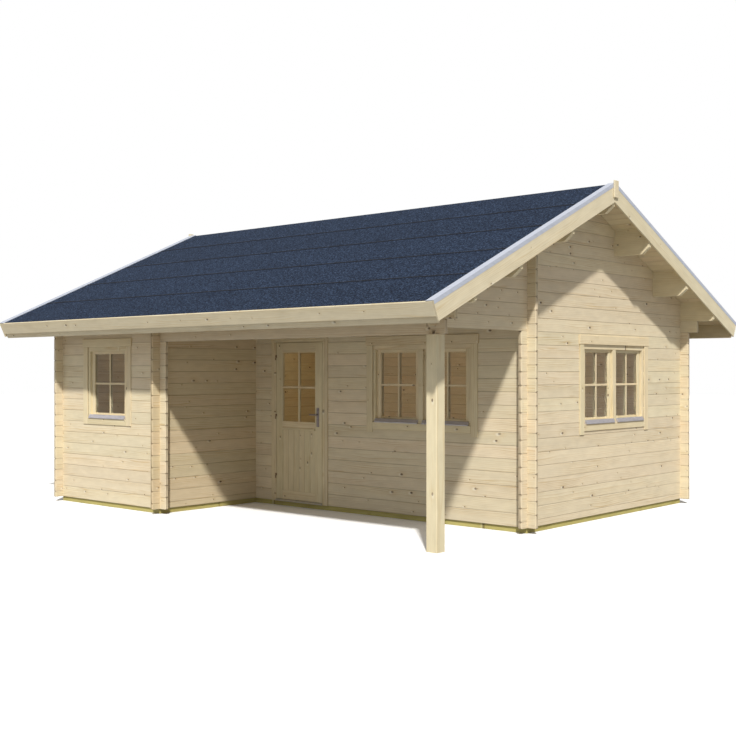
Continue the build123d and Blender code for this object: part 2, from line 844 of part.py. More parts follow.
pane_low = window_sill + window_rail_height + window_sash_rail / 2
pane_range = (pane_low, window_head - window_frame_head - window_sash_rail)
gable_place = Pos(right_face, gable_window_y, 0) * Rot(0, 0, 90)
windows = [
    ("porch", Pos(porch_window_x, porch_face, 0), double_window_width, double_sash_count, casing_drop),
    ("gable", gable_place, double_window_width, double_sash_count, casing_drop),
    ("front", Pos(front_window_x, front_face, 0), single_window_width, single_sash_count, 0),
]
all_panes = []
all_rails = []
for name, place, width, sash_count, drop in windows:
    save(f"{name}_window_casing", *[place * board for board in window_casing(width, drop)])
    save(f"{name}_window_frame", place * window_frame(width, sash_count))
    all_panes += [place * pane for pane in window_panes(width, sash_count)]
    all_rails += [place * rail for rail in drip_rails(width, sash_count)]
save("window_glass", *all_panes)
save("window_drip_rails", *all_rails)
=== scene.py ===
import math

import bmesh
import bpy
import numpy as np
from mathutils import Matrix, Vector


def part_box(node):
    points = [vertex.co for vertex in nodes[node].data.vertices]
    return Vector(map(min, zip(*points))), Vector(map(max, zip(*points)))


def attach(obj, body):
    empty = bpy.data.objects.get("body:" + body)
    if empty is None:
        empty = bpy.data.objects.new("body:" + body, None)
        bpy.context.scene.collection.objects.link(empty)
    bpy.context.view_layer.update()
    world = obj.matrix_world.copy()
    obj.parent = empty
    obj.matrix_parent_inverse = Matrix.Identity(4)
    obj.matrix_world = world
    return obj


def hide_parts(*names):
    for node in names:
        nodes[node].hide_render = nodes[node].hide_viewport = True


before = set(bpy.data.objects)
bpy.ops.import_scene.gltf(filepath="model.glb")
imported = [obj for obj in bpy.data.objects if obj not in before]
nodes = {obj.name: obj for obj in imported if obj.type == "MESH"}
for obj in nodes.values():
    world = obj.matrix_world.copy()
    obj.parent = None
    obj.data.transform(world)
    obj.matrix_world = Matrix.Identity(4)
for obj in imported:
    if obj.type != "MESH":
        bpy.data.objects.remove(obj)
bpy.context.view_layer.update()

# Foundation beams: squared spruce, pressure impregnated to an olive green, laid flat under
# every wall with joists between them. They are sawn to length and butt at the corners.

beam_arris = 0.004
beam_ease = 0.002
draw = np.random.default_rng(11)
ON_SITE = (np.zeros(3), np.eye(3))
TURNS = {"x": (0, 1, 2), "y": (1, 0, 2), "z": (2, 1, 0)}
QUARTER = np.array([1.0, 0.293, 0.0])
RING = 4 * len(QUARTER)
NO_JOINT = np.zeros(RING)


def srgb(red, green, blue):
    """Linear RGBA of a colour given in the 0 to 255 steps of a screen."""
    steps = np.array([red, green, blue]) / 255
    linear = np.where(steps <= 0.04045, steps / 12.92, ((steps + 0.055) / 1.055) ** 2.4)
    return (*linear, 1.0)


def solid_boxes(node):
    """Lowest and highest corner of each separate solid of a CAD node.

    Corner points at one place are one point, and every triangle hands the lowest label of its
    points to all of them until no label changes, so each solid ends with a label of its own.
    """
    mesh = nodes[node].data
    points = np.empty(3 * len(mesh.vertices))
    mesh.vertices.foreach_get("co", points)
    points = points.reshape(-1, 3)
    corners = np.empty(len(mesh.loops), int)
    mesh.loops.foreach_get("vertex_index", corners)
    places, same = np.unique(points.round(5), axis=0, return_inverse=True)
    triangles = same.ravel()[corners].reshape(-1, 3)
    labels = np.arange(len(places))
    while True:
        lowest = labels[triangles].min(axis=1)
        before = labels.copy()
        np.minimum.at(labels, triangles, lowest[:, None])
        if (labels == before).all():
            break
    return [(places[labels == k].min(axis=0), places[labels == k].max(axis=0)) for k in np.unique(labels)]


def eased(low_end, high_end, low, high, ease):
    """Stations of a straight timber whose two ends are rounded off by ease."""
    rounding = ease * np.stack([QUARTER[::-1], QUARTER], axis=1)
    start = [(low_end + step, low, high, inset) for step, inset in rounding]
    end = [(high_end - step, low, high, inset) for step, inset in rounding[::-1]]
    return start + end


def timber_skin(stations, near, far, arris):
    """Points (along, across, level) of a rectangle with rounded arrises carried along a timber.

    Each station is (along, low, high, inset). The rectangle there reaches from near to far across
    and from low to high, drawn in by inset on all sides, and each corner is a quarter circle.
    """
    along, low, high, inset = np.asarray(stations, float).T[:, :, None]
    radius = np.clip(0.4 * (high - low - 2 * inset), 0, arris)
    back = QUARTER[::-1]
    across_base = np.concatenate([near + inset] * 6 + [far - inset] * 6, axis=1)
    level_base = np.concatenate([low + inset] * 3 + [high - inset] * 6 + [low + inset] * 3, axis=1)
    across = across_base + radius * np.concatenate([QUARTER, back, -QUARTER, -back])
    level = level_base + radius * np.concatenate([back, -QUARTER, -back, QUARTER])
    return np.stack([np.broadcast_to(along, across.shape), across, level], axis=-1).reshape(-1, 3)


def timber(place, axis, stations, near, far, arris, joint=NO_JOINT):
    """One timber along an axis of a place: its points, faces, and the space that its grain follows.

    A joint says how deep each point of a ring lies in the V joints beside the timber, where the wood
    is painted darker as painted shade.
    """
    skin = timber_skin(stations, near, far, arris)
    rings = np.arange(len(skin)).reshape(-1, RING)
    beside = np.roll(rings, -1, axis=1)
    sides = np.stack([rings[:-1], beside[:-1], beside[1:], rings[1:]], axis=-1).reshape(-1, 4)
    levels = np.asarray(stations, float)
    wide = (levels[:, 2] - levels[:, 1]).max()
    grain = skin if wide >= abs(far - near) else skin[:, (0, 2, 1)]
    drawn_in = levels[:, 3] > 0
    end_sides = np.repeat(drawn_in[:-1] | drawn_in[1:], RING)
    origin, directions = place
    return {
        "points": origin + skin[:, TURNS[axis]] @ directions,
        "sides": sides,
        "caps": np.stack([rings[0][::-1], rings[-1]]),
        "grain": grain + draw.uniform(0, 60, 3),
        "tint": np.full(len(skin), draw.uniform()),
        "joint": np.tile(joint, len(rings)),
        "end": np.concatenate([end_sides, [True, True]]).astype(float),
    }


def board(place, low, high, axis, arris=0.003, ease=0.003, joint=NO_JOINT):
    """A squared board between two corners of a place, with its grain along an axis."""
    along, across, level = np.argsort(TURNS[axis])
    stations = eased(low[along], high[along], low[level], high[level], ease)
    return timber(place, axis, stations, low[across], high[across], arris, joint=joint)


def box_board(box, arris=0.003, ease=0.003):
    """A board that fills a solid's box, with its grain along the longest side."""
    low, high = box
    return board(ON_SITE, low, high, "xyz"[int(np.argmax(high - low))], arris, ease)


def new_piece(name, points, faces, material, slot, body, *replaced):
    """A mesh object of the given points and faces, that rides on a body and stands for CAD nodes."""
    mesh = bpy.data.meshes.new(name)
    mesh.from_pydata(points.tolist(), [], faces)
    shape = bmesh.new()
    shape.from_mesh(mesh)
    bmesh.ops.recalc_face_normals(shape, faces=shape.faces)
    shape.to_mesh(mesh)
    shape.free()
    piece = bpy.data.objects.new(name, mesh)
    bpy.context.scene.collection.objects.link(piece)
    mesh.materials.append(material)
    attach(piece, body)
    if replaced:
        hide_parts(*replaced)
    return piece


def timber_piece(name, timbers, material, slot, body, *replaced):
    """All the timbers of one piece as a mesh, with the attributes that its wood reads."""
    starts = np.cumsum([0] + [len(one["points"]) for one in timbers])
    faces = []
    for start, one in zip(starts, timbers):
        faces += (one["sides"] + start).tolist() + (one["caps"] + start).tolist()
    points = np.concatenate([one["points"] for one in timbers])
    piece = new_piece(name, points, faces, material, slot, body, *replaced)
    mesh = piece.data
    grain = np.concatenate([one["grain"] for one in timbers])
    mesh.attributes.new("grain", "FLOAT_VECTOR", "POINT").data.foreach_set("vector", grain.ravel())
    for label in ("tint", "joint"):
        values = np.concatenate([one[label] for one in timbers])
        mesh.attributes.new(label, "FLOAT", "POINT").data.foreach_set("value", values)
    end = np.concatenate([one["end"] for one in timbers])
    mesh.attributes.new("end", "FLOAT", "FACE").data.foreach_set("value", end)
    return piece


def put(tree, kind, inputs=None, **settings):
    """Add a shader node, set its properties, and set or link its inputs by name or number."""
    made = tree.nodes.new(kind)
    for key, value in settings.items():
        setattr(made, key, value)
    for key, value in (inputs or {}).items():
        if isinstance(value, bpy.types.NodeSocket):
            tree.links.new(value, made.inputs[key])
        else:
            made.inputs[key].default_value = value
    return made


def maths(tree, operation, first, second=0.0, third=0.0):
    """Output of a Math node."""
    node = put(tree, "ShaderNodeMath", {0: first, 1: second, 2: third}, operation=operation)
    return node.outputs[0]


def blend_colour(tree, share, first, second, mode="MIX"):
    """Output of a Mix node on two colours."""
    node = put(tree, "ShaderNodeMix", data_type="RGBA", blend_type=mode)
    for place, value in ((0, share), (6, first), (7, second)):
        if isinstance(value, bpy.types.NodeSocket):
            tree.links.new(value, node.inputs[place])
        else:
            node.inputs[place].default_value = value
    return node.outputs[2]


def ramp(tree, value, low, high, out_low=0.0, out_high=1.0):
    """Smooth step of a value from low to high."""
    inputs = {"Value": value, "From Min": low, "From Max": high, "To Min": out_low, "To Max": out_high}
    return put(tree, "ShaderNodeMapRange", inputs, interpolation_type="SMOOTHSTEP").outputs[0]


def noise(tree, vector, scale=1.0, detail=2.0):
    """Output of a Noise texture."""
    return put(tree, "ShaderNodeTexNoise", {"Vector": vector, "Scale": scale, "Detail": detail}).outputs[0]


def scaled(tree, vector, rates):
    """A vector with each of its parts multiplied by a rate of its own."""
    return put(tree, "ShaderNodeVectorMath", {0: vector, 1: rates}, operation="MULTIPLY").outputs[0]


def length_of(tree, vector):
    """Length of a vector."""
    return put(tree, "ShaderNodeVectorMath", {0: vector}, operation="LENGTH").outputs["Value"]


def new_group(name, inputs, outputs):
    """Empty shader node group with named sockets, and the nodes at its two ends."""
    group = bpy.data.node_groups.new(name, "ShaderNodeTree")
    for label, kind in inputs:
        group.interface.new_socket(label, in_out="INPUT", socket_type=kind)
    for label, kind in outputs:
        group.interface.new_socket(label, in_out="OUTPUT", socket_type=kind)
    return group, group.nodes.new("NodeGroupInput"), group.nodes.new("NodeGroupOutput")


def spruce_figure():
    """Node group for planed spruce: growth rings, fibres, clouding and small knots in a grain space.

    The grain space has x along the timber and z across its wide face, in metres. A knot sits at
    some of the points of a stretched cell pattern, the rings bend round it and a pale curl lies beside
    it. Rates are per metre, and the sizes of cells, knots and bends are in metres.
    """
    sockets = [("Grain", "NodeSocketVector"), ("Tint", "NodeSocketFloat"), ("Pale", "NodeSocketColor"),
               ("Ring", "NodeSocketColor"), ("Knot", "NodeSocketColor"), ("End Grain", "NodeSocketFloat"),
               ("Joint", "NodeSocketFloat")]
    results = [("Color", "NodeSocketColor"), ("Roughness", "NodeSocketFloat"), ("Height", "NodeSocketFloat")]
    group, given, result = new_group("spruce_figure", sockets, results)
    along_cell = 0.30
    wide_cell = 0.085
    knot_stretch = 0.6
    knot_share = 0.23
    least_knot = 0.005
    knot_growth = 0.012
    knot_core = 0.45
    least_depth = 0.50
    depth_range = 0.45
    curl_shift = (0.012, 0.006, 0)
    curl_reach = 1.7
    curl_strength = 0.75
    curl_white = 0.12
    halo_reach = 4.5
    halo_warmth = 0.30
    ring_bend = 0.007
    ring_rate = 330.0
    ring_wander = 34.0
    ring_sharpness = 2.2
    fibre_share = 0.28
    drift_rate = (0.8, 7.0, 11.0)
    fibre_rate = (9.0, 260.0, 420.0)
    end_ring_rate = (0.0, 900.0, 520.0)
    cloud_rate = (5.0, 5.0, 15.0)
    least_shade = 0.82
    tint_shade = 0.10
    cloud_shade = 0.23
    rosy_tone = (1.018, 0.99, 0.972, 1)
    olive_tone = (0.988, 1.0, 0.962, 1)
    # Strength of the painted shade in the V joints, on side grain and on end grain.
    side_joint_shade = 0.31
    end_joint_shade = 0.20
    grain = put(group, "ShaderNodeSeparateXYZ", {0: given.outputs["Grain"]}).outputs
    cell = put(group, "ShaderNodeCombineXYZ", {
        "X": maths(group, "DIVIDE", grain["X"], along_cell),
        "Y": maths(group, "DIVIDE", grain["Z"], wide_cell),
    }).outputs[0]
    voronoi = put(group, "ShaderNodeTexVoronoi", {"Vector": cell, "Scale": 1.0}, voronoi_dimensions="2D")
    centre = voronoi.outputs["Position"]
    apart = put(group, "ShaderNodeVectorMath", {0: cell, 1: centre}, operation="SUBTRACT").outputs[0]
    offset = scaled(group, apart, (along_cell * knot_stretch, wide_cell, 0))
    distance = length_of(group, offset)
    chance = put(group, "ShaderNodeSeparateColor", {0: voronoi.outputs["Color"]}).outputs
    present = maths(group, "GREATER_THAN", chance["Green"], 1 - knot_share)
    uneven = maths(group, "POWER", chance["Red"], 2.0)
    size = maths(group, "MULTIPLY_ADD", uneven, knot_growth, least_knot)
    inner = maths(group, "MULTIPLY", size, knot_core)
    depth = maths(group, "MULTIPLY_ADD", chance["Blue"], depth_range, least_depth)
    depth = maths(group, "MULTIPLY", present, depth)
    knot = maths(group, "MULTIPLY", depth, ramp(group, distance, size, inner))
    shifted = put(group, "ShaderNodeVectorMath", {0: offset, 1: curl_shift}, operation="ADD").outputs[0]
    near_reach = maths(group, "MULTIPLY", size, curl_reach)
    curl = maths(group, "MULTIPLY", present, ramp(group, length_of(group, shifted), near_reach, inner))
    wide_reach = maths(group, "MULTIPLY", size, halo_reach)
    halo = maths(group, "MULTIPLY", present, ramp(group, distance, wide_reach, inner))
    bent = maths(group, "MULTIPLY_ADD", halo, ring_bend, grain["Z"])
    bent_grain = put(group, "ShaderNodeCombineXYZ", {0: grain["X"], 1: grain["Y"], 2: bent}).outputs[0]
    drift = noise(group, scaled(group, bent_grain, drift_rate))
    wander = maths(group, "MULTIPLY", drift, ring_wander)
    phase = maths(group, "MULTIPLY_ADD", bent, ring_rate, wander)
    wave = maths(group, "MULTIPLY_ADD", maths(group, "SINE", phase), 0.5, 0.5)
    fibre = noise(group, scaled(group, bent_grain, fibre_rate))
    ring_depth = ramp(group, drift, 0.35, 0.75, 0.10, 0.60)
    ring = maths(group, "MULTIPLY", maths(group, "POWER", wave, ring_sharpness), ring_depth)
    ring = maths(group, "MULTIPLY_ADD", fibre, fibre_share, ring)
    colour = blend_colour(group, ring, given.outputs["Pale"], given.outputs["Ring"])
    cross = put(group, "ShaderNodeVectorMath", {0: given.outputs["Grain"], 1: end_ring_rate},
                operation="DOT_PRODUCT").outputs["Value"]
    cross_ring = maths(group, "MULTIPLY_ADD", maths(group, "SINE", cross), 0.16, 0.30)
    end_colour = blend_colour(group, cross_ring, given.outputs["Pale"], given.outputs["Ring"])
    colour = blend_colour(group, given.outputs["End Grain"], colour, end_colour)
    cloud = noise(group, scaled(group, given.outputs["Grain"], cloud_rate))
    shade = maths(group, "MULTIPLY_ADD", given.outputs["Tint"], tint_shade, least_shade)
    shade = maths(group, "MULTIPLY_ADD", cloud, cloud_shade, shade)
    hue = maths(group, "FRACT", maths(group, "MULTIPLY", given.outputs["Tint"], 7.3))
    tone = blend_colour(group, hue, rosy_tone, olive_tone)
    grey = put(group, "ShaderNodeCombineColor", {0: shade, 1: shade, 2: shade}).outputs[0]
    colour = blend_colour(group, 1.0, colour, grey, "MULTIPLY")
    colour = blend_colour(group, 1.0, colour, tone, "MULTIPLY")
    side = maths(group, "SUBTRACT", 1.0, given.outputs["End Grain"])
    warm = maths(group, "MULTIPLY", maths(group, "MULTIPLY", halo, halo_warmth), side)
    colour = blend_colour(group, warm, colour, given.outputs["Ring"])
    light = maths(group, "MULTIPLY", maths(group, "MULTIPLY", curl, curl_strength), side)
    curl_colour = blend_colour(group, curl_white, given.outputs["Pale"], (1, 1, 1, 1))
    colour = blend_colour(group, light, colour, curl_colour)
    colour = blend_colour(group, maths(group, "MULTIPLY", knot, side), colour, given.outputs["Knot"])
    # Painted shade in the V joints: the colour goes towards the knot brown where the joint attribute is high,
    # more on end grain.
    dust_and_joint_shade = maths(group, "MULTIPLY_ADD", given.outputs["End Grain"], end_joint_shade, side_joint_shade)
    joint_shade = maths(group, "MULTIPLY", given.outputs["Joint"], dust_and_joint_shade)
    colour = blend_colour(group, joint_shade, colour, given.outputs["Knot"])
    roughness = maths(group, "MULTIPLY_ADD", fibre, 0.22, 0.55)
    height = maths(group, "MULTIPLY_ADD", fibre, 0.6, maths(group, "MULTIPLY", wave, 0.4))
    for label, value in (("Color", colour), ("Roughness", roughness), ("Height", height)):
        group.links.new(value, result.inputs[label])
    return group


spruce = spruce_figure()


def new_material(name):
    """Empty material with a Principled shader on its output."""
    material = bpy.data.materials.new(name)
    material.use_nodes = True
    tree = material.node_tree
    tree.nodes.clear()
    shader = put(tree, "ShaderNodeBsdfPrincipled")
    put(tree, "ShaderNodeOutputMaterial", {"Surface": shader.outputs[0]})
    return material, tree, shader


def bump(tree, shader, height, depth, strength=0.5):
    """Let a height drive the shader's normal, at a depth in metres."""
    node = put(tree, "ShaderNodeBump", {"Height": height, "Distance": depth, "Strength": strength})
    tree.links.new(node.outputs[0], shader.inputs["Normal"])


def wood_material(name, pale, ring, knot, turn=None, tint=0.5):
    """Planed wood. It reads a timber's own attributes or, with a turn, Object coordinates.

    The turn is the rotation in degrees that lays the timber's length on the grain's x axis.
    """
    material, tree, shader = new_material(name)
    colours = {"Pale": pale, "Ring": ring, "Knot": knot}
    if turn is None:
        inputs = {
            "Grain": put(tree, "ShaderNodeAttribute", attribute_name="grain").outputs["Vector"],
            "Tint": put(tree, "ShaderNodeAttribute", attribute_name="tint").outputs["Fac"],
            "End Grain": put(tree, "ShaderNodeAttribute", attribute_name="end").outputs["Fac"],
            "Joint": put(tree, "ShaderNodeAttribute", attribute_name="joint").outputs["Fac"],
        }
    else:
        place = put(tree, "ShaderNodeTexCoord").outputs["Object"]
        angles = tuple(math.radians(angle) for angle in turn)
        turned = put(tree, "ShaderNodeMapping", {"Vector": place, "Rotation": angles}).outputs[0]
        normal = put(tree, "ShaderNodeNewGeometry").outputs["True Normal"]
        facing = put(tree, "ShaderNodeMapping", {"Vector": normal, "Rotation": angles}).outputs[0]
        lengthwise = put(tree, "ShaderNodeSeparateXYZ", {0: facing}).outputs["X"]
        end = maths(tree, "GREATER_THAN", maths(tree, "ABSOLUTE", lengthwise), 0.85)
        inputs = {"Grain": turned, "Tint": tint, "End Grain": end}
    figure = put(tree, "ShaderNodeGroup", {}, node_tree=spruce)
    for label, value in {**inputs, **colours}.items():
        if isinstance(value, bpy.types.NodeSocket):
            tree.links.new(value, figure.inputs[label])
        else:
            figure.inputs[label].default_value = value
    tree.links.new(figure.outputs["Color"], shader.inputs["Base Color"])
    tree.links.new(figure.outputs["Roughness"], shader.inputs["Roughness"])
    shader.inputs["Specular IOR Level"].default_value = 0.3
    bump(tree, shader, figure.outputs["Height"], 0.0006)
    return material


impregnated = wood_material("impregnated_wood", srgb(198, 188, 120), srgb(162, 145, 76), srgb(98, 82, 42))
beams = [box_board(box, beam_arris, beam_ease) for box in solid_boxes("foundation_beams")]
timber_piece("foundation_timbers", beams, impregnated, "impregnated_wood", "root", "foundation_beams")


# Floor: tongued and grooved spruce planks nailed on the joists, with a V joint between planks.
# They stop short of the walls and are cut round the log ends at the inner corner.

SIDE_JOINT = np.tile([0.0, 0.7, 1.0, 1.0, 0.7, 0.0], 2)
plank_width = 0.095
plank_arris = 0.003
all_levels = (-1.0, 1.0)
floor_pale = srgb(226, 213, 182)
floor_ring = srgb(198, 170, 124)
knot_brown = srgb(82, 54, 32)


def runs_of(span, low, high, cuts, roof=None):
    """Stations of the pieces that are left of a straight timber after its cuts.

    The timber lies on span between two levels. Each cut (start, end, bottom, top) takes away what
    lies between those limits, and a roof, if given, is a height for each place along that nothing
    rises above. The limits of the cuts and the places where the roof meets the timber split the
    span, and the split parts that follow on from each other make one piece.
    """
    least = 0.004
    limits = [span[0], span[1]]
    limits += [limit for cut in cuts for limit in cut[:2]]
    if roof is not None:
        limits += roof_kinks(low + least) + roof_kinks(high) + [0.0]
    limits = sorted({round(limit, 5) for limit in limits if span[0] <= limit <= span[1]})
    runs = [[]]
    for start, end in zip(limits[:-1], limits[1:]):
        middle = (start + end) / 2
        bottom, top = low, high
        for cut in cuts:
            if cut[0] < middle < cut[1] and cut[2] < top and cut[3] > bottom:
                keeps_low = cut[2] - bottom > top - cut[3]
                bottom, top = (bottom, cut[2]) if keeps_low else (cut[3], top)
        tops = [top, top] if roof is None else [min(top, roof(start)), min(top, roof(end))]
        if min(tops) - bottom < 0.75 * least:
            runs.append([])
            continue
        runs[-1] += [(start, bottom, tops[0], 0.0), (end, bottom, tops[1], 0.0)]
    return [run for run in runs if run]


def ease_ends(run, span, ease):
    """Round off the ends of a run that are the ends of the whole timber."""
    start, end = run[0], run[-1]
    rounding = ease * np.stack([QUARTER[::-1], QUARTER], axis=1)
    if start[0] == round(span[0], 5):
        run = [(start[0] + step, *start[1:3], inset) for step, inset in rounding] + run[1:]
    if end[0] == round(span[1], 5):
        run = run[:-1] + [(end[0] - step, *end[1:3], inset) for step, inset in rounding[::-1]]
    return run


def corner_cut(part):
    """Limits on x and y of the log ends that stand in the floor's inner corner, with a gap round them."""
    gap = 0.005
    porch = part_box("porch_wall_hinge_side")
    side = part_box("porch_side_wall")
    if part == "left":
        return (porch[0].x - gap, side[0].x), (porch[0].y - gap, porch[1].y + gap)
    return (side[0].x - gap, side[1].x + gap), (porch[1].y, side[1].y + gap)


planks = []
left_part_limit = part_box("porch_side_wall")[0].x - 1.0
for low, high in solid_boxes("floor_boards"):
    part = "left" if low[0] < left_part_limit else "main"
    cut_x, cut_y = corner_cut(part)
    count = round((high[1] - low[1]) / plank_width)
    edges = np.linspace(low[1], high[1], count + 1)
    for near, far in zip(edges[:-1], edges[1:]):
        cuts = [(*cut_x, *all_levels)] if near < cut_y[1] and far > cut_y[0] else []
        for run in runs_of((low[0], high[0]), low[2], high[2], cuts):
            planks.append(timber(ON_SITE, "x", run, near, far, plank_arris, joint=SIDE_JOINT))
floor_wood = wood_material("floor_wood", floor_pale, floor_ring, knot_brown)
timber_piece("floor_planks", planks, floor_wood, "board_wood", "root", "floor_boards")


# Log walls: planed spruce logs, tongued on top of each other, with eased arrises that make a V joint.
# The logs of crossing walls lie half a course apart and are notched round each other, and their ends
# run on past the corners. The porch side wall has a darker copy of the log wood as painted shade.

LEVEL_JOINT = np.tile([1.0, 0.7, 0.0, 0.0, 0.7, 1.0], 2)
log_arris = 0.0053
end_ease = 0.010
log_pale = srgb(227, 216, 191)
log_ring = srgb(198, 170, 122)
# A darker copy of the log colours: painted shade for the porch side wall, which lies in the porch's shade.
painted_shade_pale = srgb(215, 200, 170)
painted_shade_ring = srgb(184, 155, 107)
wall_courses = 14
most_courses = 27
roof_pitch = 24.1
roof_slope = math.tan(math.radians(roof_pitch))
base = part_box("foundation_beams")[1].z
course = (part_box("front_wall")[1].z - base) / wall_courses
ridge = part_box("ridge_purlin")[1].z
over_roof = ridge + 1.0
long_joints = base + course * np.arange(most_courses)
cross_joints = np.concatenate([[base], long_joints + course / 2])


def roof_underside(y):
    """Height of the roof boards' underside over a place on Y."""
    return ridge - abs(y) * roof_slope


def roof_kinks(level):
    """The two places on Y where the roof boards' underside passes a level."""
    reach = (ridge - level) / roof_slope
    return [-reach, reach]


def side_limits(node, axis):
    """Limits of a node on one axis."""
    low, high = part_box(node)
    return (low[axis], high[axis])


def laps(column, centres):
    """Notches a half course high round each centre, in the column where another wall crosses."""
    return [(*column, centre - course / 4, centre + course / 4) for centre in centres]


left_x = side_limits("left_gable", 0)
side_x = side_limits("porch_side_wall", 0)
right_x = side_limits("right_gable_top", 0)
front_y = side_limits("front_wall", 1)
porch_y = side_limits("porch_wall_hinge_side", 1)
rear_y = side_limits("rear_wall", 1)
door_opening = (side_limits("porch_wall_hinge_side", 0)[1], side_limits("porch_wall_window_side", 0)[0])
door_casing_width = 0.05
door_head = (*door_opening, 0.0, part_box("door_frame")[1].z - door_casing_width)


def window_cut(node, axis):
    """Opening of a window's frame in its wall."""
    low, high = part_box(node)
    return (low[axis], high[axis], low.z, high.z)


slope_purlins = [f"{side}_{level}_purlin" for side in ("front", "rear") for level in ("upper", "lower")]
purlins = ["ridge_purlin", *slope_purlins]
timber_pockets = [(*side_limits(node, 1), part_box(node)[0].z, over_roof) for node in purlins]
plate_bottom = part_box("eave_plates")[0].z
timber_pockets += [(*wall_y, plate_bottom, over_roof) for wall_y in (front_y, rear_y)]

long_walls = [
    ("front_wall", (left_x, side_x), [window_cut("front_window_frame", 0)]),
    ("front_beam", (left_x, side_x, right_x), []),
    ("rear_wall", (left_x, right_x), []),
    ("porch_wall_hinge_side", (side_x,), []),
    ("porch_wall_window_side", (right_x,), [window_cut("porch_window_frame", 0)]),
    ("porch_wall_over_door", (side_x, right_x), [door_head]),
]
cross_walls = [
    ("porch_side_wall", (front_y, porch_y), []),
    ("left_gable", (front_y, rear_y), []),
    ("right_gable_wall", (porch_y, rear_y), [window_cut("gable_window_frame", 1)]),
    ("right_gable_top", (front_y, porch_y, rear_y), []),
]


def stack_logs(axis, box, joints, cuts, roof):
    """The logs of one wall, a log between each two joints that lie in the wall's box."""
    low, high = box
    along, across = (0, 1) if axis == "x" else (1, 0)
    span = (low[along], high[along])
    slack = 0.001
    least_height = 0.01
    logs = []
    for bottom, top in zip(joints[:-1], joints[1:]):
        if bottom < low.z - slack or bottom > high.z - least_height:
            continue
        top = top if roof else min(top, high.z)
        for run in runs_of(span, bottom, top, cuts, roof):
            run = ease_ends(run, span, end_ease)
            logs.append(timber(ON_SITE, axis, run, low[across], high[across], log_arris, joint=LEVEL_JOINT))
    return logs


log_wood = wood_material("log_wood", log_pale, log_ring, knot_brown)
painted_shade_wood = wood_material("painted_shade_log_wood", painted_shade_pale, painted_shade_ring, knot_brown)
for node, columns, openings in long_walls:
    notches = [lap for column in columns for lap in laps(column, long_joints)]
    logs = stack_logs("x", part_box(node), long_joints, notches + openings, None)
    timber_piece(f"{node}_logs", logs, log_wood, "log_wood", "root", node)
bracket_logs = []
low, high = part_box("bracket_logs")
bracket_span = (low.x, high.x)
for wall_y, columns in ((front_y, (left_x, side_x, right_x)), (rear_y, (left_x, right_x))):
    notches = [lap for column in columns for lap in laps(column, long_joints)]
    for run in runs_of(bracket_span, low.z, high.z, notches):
        run = ease_ends(run, bracket_span, end_ease)
        bracket_logs.append(timber(ON_SITE, "x", run, *wall_y, log_arris, joint=LEVEL_JOINT))
timber_piece("bracket_log_pair", bracket_logs, log_wood, "log_wood", "root", "bracket_logs")
for node, columns, openings in cross_walls:
    notches = [lap for column in columns for lap in laps(column, cross_joints[1:])]
    cuts = notches + openings + timber_pockets
    logs = stack_logs("y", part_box(node), cross_joints, cuts, roof_underside)
    # The porch side wall takes the darker copy of the log wood as painted shade.
    wood = painted_shade_wood if node == "porch_side_wall" else log_wood
    timber_piece(f"{node}_logs", logs, wood, "log_wood", "root", node)


# Porch post, purlins and eave plates: planed glued spruce. The post stands under the crossing of the
# front beam and the gable logs, and the purlins lie in pockets of the gables with bevelled ends.

purlin_arris = 0.002
timber_pale = srgb(228, 217, 187)
timber_ring = srgb(210, 188, 144)
lengthwise_wood = wood_material("timber_wood_lengthwise", timber_pale, timber_ring, knot_brown, (0, 0, 0))
upright_wood = wood_material("timber_wood_upright", timber_pale, timber_ring, knot_brown, (0, 90, 0))


def finish_node(node, material, arris=0.0):
    """Give a CAD node that keeps its shape its own finish, crisp faces and, with an arris, eased edges."""
    slots = nodes[node].data.materials
    slots.clear()
    slots.append(material)
    nodes[node].modifiers.new("joined_points", "WELD").merge_threshold = 0.00002
    if arris:
        whole = nodes[node].modifiers.new("whole_faces", "DECIMATE")
        whole.decimate_type = "DISSOLVE"
        whole.angle_limit = math.radians(1)
        eased_edges = nodes[node].modifiers.new("eased_edges", "BEVEL")
        eased_edges.width = arris
        eased_edges.segments = 2
        eased_edges.angle_limit = math.radians(20)
    crisp = nodes[node].modifiers.new("crisp_faces", "EDGE_SPLIT")
    crisp.split_angle = math.radians(24)


for node in (*purlins, "eave_plates"):
    finish_node(node, lengthwise_wood, purlin_arris)
finish_node("porch_post", upright_wood)


# Roof boards: tongued and grooved spruce in rows along the ridge, their planed faces down, with a V joint
# that shows under the overhangs and from inside.

roof_board_width = 0.112
roof_board_thickness = 0.019
roof_board_arris = 0.004
pitch = math.radians(roof_pitch)


def slope_place(side):
    """A place whose x runs along the ridge, y down the slope from the ridge, z square to the boards."""
    down = (0, side * math.cos(pitch), -math.sin(pitch))
    square = (0, side * math.sin(pitch), math.cos(pitch))
    return np.array([0, 0, ridge]), np.array([(1, 0, 0), down, square])


board_wood = wood_material("roof_board_wood", floor_pale, floor_ring, knot_brown)
for name, side in (("front", -1), ("rear", 1)):
    node = f"roof_boards_{name}"
    low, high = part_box(node)
    length = max(abs(low.y), abs(high.y)) / math.cos(pitch) - roof_board_thickness * math.tan(pitch)
    edges = np.linspace(0.0, length, round(length / roof_board_width) + 1)
    stations = [(end, 0.0, roof_board_thickness, 0.0) for end in (low.x, high.x)]
    boards = []
    for near, far in zip(edges[:-1], edges[1:]):
        boards.append(timber(slope_place(side), "x", stations, near, far, roof_board_arris, SIDE_JOINT))
    timber_piece(f"{node}_planks", boards, board_wood, "board_wood", "root", node)


# Roof felt: bitumen sheet with a slate blue mineral grit, laid in strips along the eave from the bottom
# up. Each lap is stuck with bitumen, and a dark bead of it shows along the edge of the upper strip.

felt_strips = 5
felt_top = 0.0235
boards_and_felt = 0.027
bead_radius = 0.009
bead_stop = 0.075
felt_blue = srgb(23, 36, 56)
grit_light = srgb(68, 84, 110)
grit_dark = srgb(7, 12, 24)


